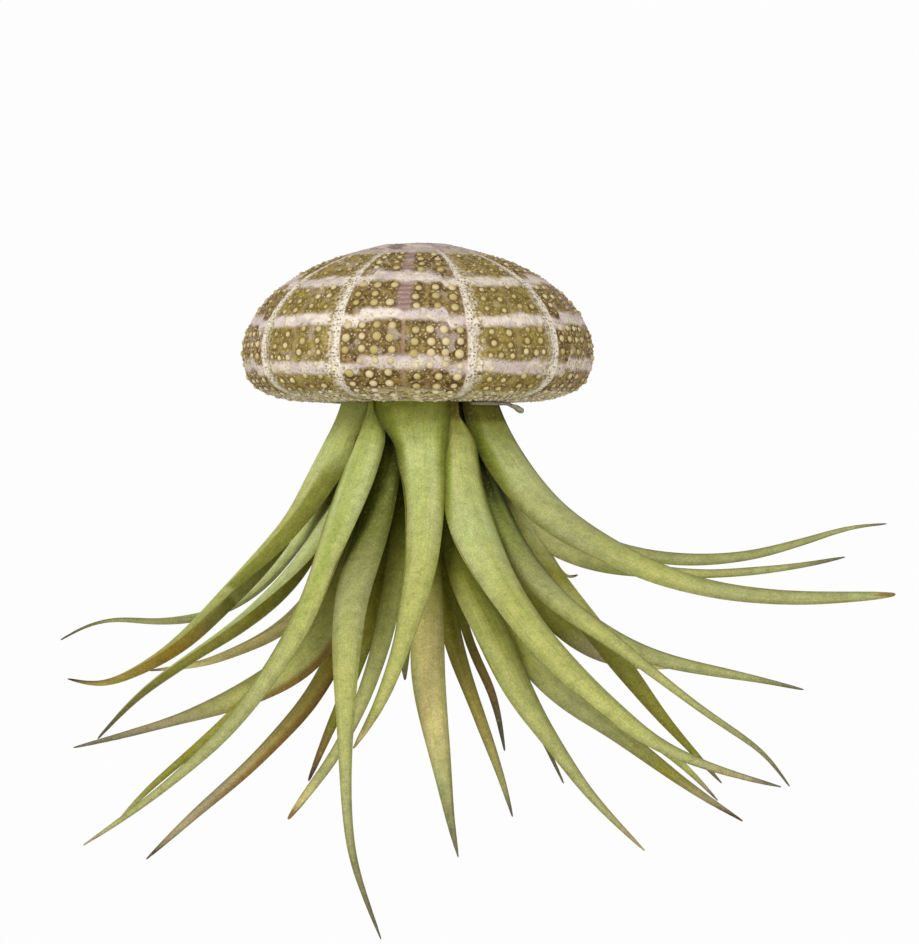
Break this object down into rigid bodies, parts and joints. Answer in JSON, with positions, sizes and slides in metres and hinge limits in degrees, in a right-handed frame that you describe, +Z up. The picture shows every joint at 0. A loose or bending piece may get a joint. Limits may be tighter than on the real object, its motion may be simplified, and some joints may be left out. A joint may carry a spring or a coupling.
{
  "type": "hanging air plant in a sea urchin shell",
  "caption": "Air plant hung upside down from the mouth of a domed sea urchin shell, its curved leaves fanning out below like tentacles; hangs by a hole in the top.",
  "frame": {"origin": "middle of the hole in the top of the shell, level with the hole's rim", "axes": "+Z up along the shell's axis, the plant's front looks along -Y, +X to its right as seen from the front"},
  "size_m": [0.1812, 0.1356, 0.1423],
  "materials": {
    "shell": "matte",
    "crown": "matte",
    "leaf": "matte",
    "glue": "satin"
  },
  "bodies": {
    "root": {"sea_urchin_shell": "shell", "plant_crown": "crown", "glue_film": "glue", "leaf_front_1": "leaf", "leaf_front_2": "leaf", "leaf_front_3": "leaf", "leaf_front_4": "leaf", "leaf_front_5": "leaf", "leaf_front_6": "leaf", "leaf_front_7": "leaf", "leaf_left_1": "leaf", "leaf_left_2": "leaf", "leaf_left_3": "leaf", "leaf_left_4": "leaf", "leaf_left_5": "leaf", "leaf_left_6": "leaf", "leaf_left_7": "leaf", "leaf_left_8": "leaf", "leaf_right_1": "leaf", "leaf_right_2": "leaf", "leaf_right_3": "leaf", "leaf_right_4": "leaf", "leaf_right_5": "leaf", "leaf_right_6": "leaf", "leaf_right_7": "leaf", "leaf_right_8": "leaf", "leaf_right_9": "leaf", "leaf_right_10": "leaf", "leaf_right_11": "leaf", "leaf_right_12": "leaf", "leaf_back_1": "leaf", "leaf_back_2": "leaf", "leaf_back_3": "leaf", "leaf_back_4": "leaf", "leaf_back_5": "leaf", "leaf_back_6": "leaf", "leaf_back_7": "leaf", "leaf_back_8": "leaf", "leaf_back_9": "leaf", "leaf_back_10": "leaf", "leaf_back_11": "leaf", "leaf_back_12": "leaf", "leaf_back_13": "leaf"}
  },
  "joints": []
}
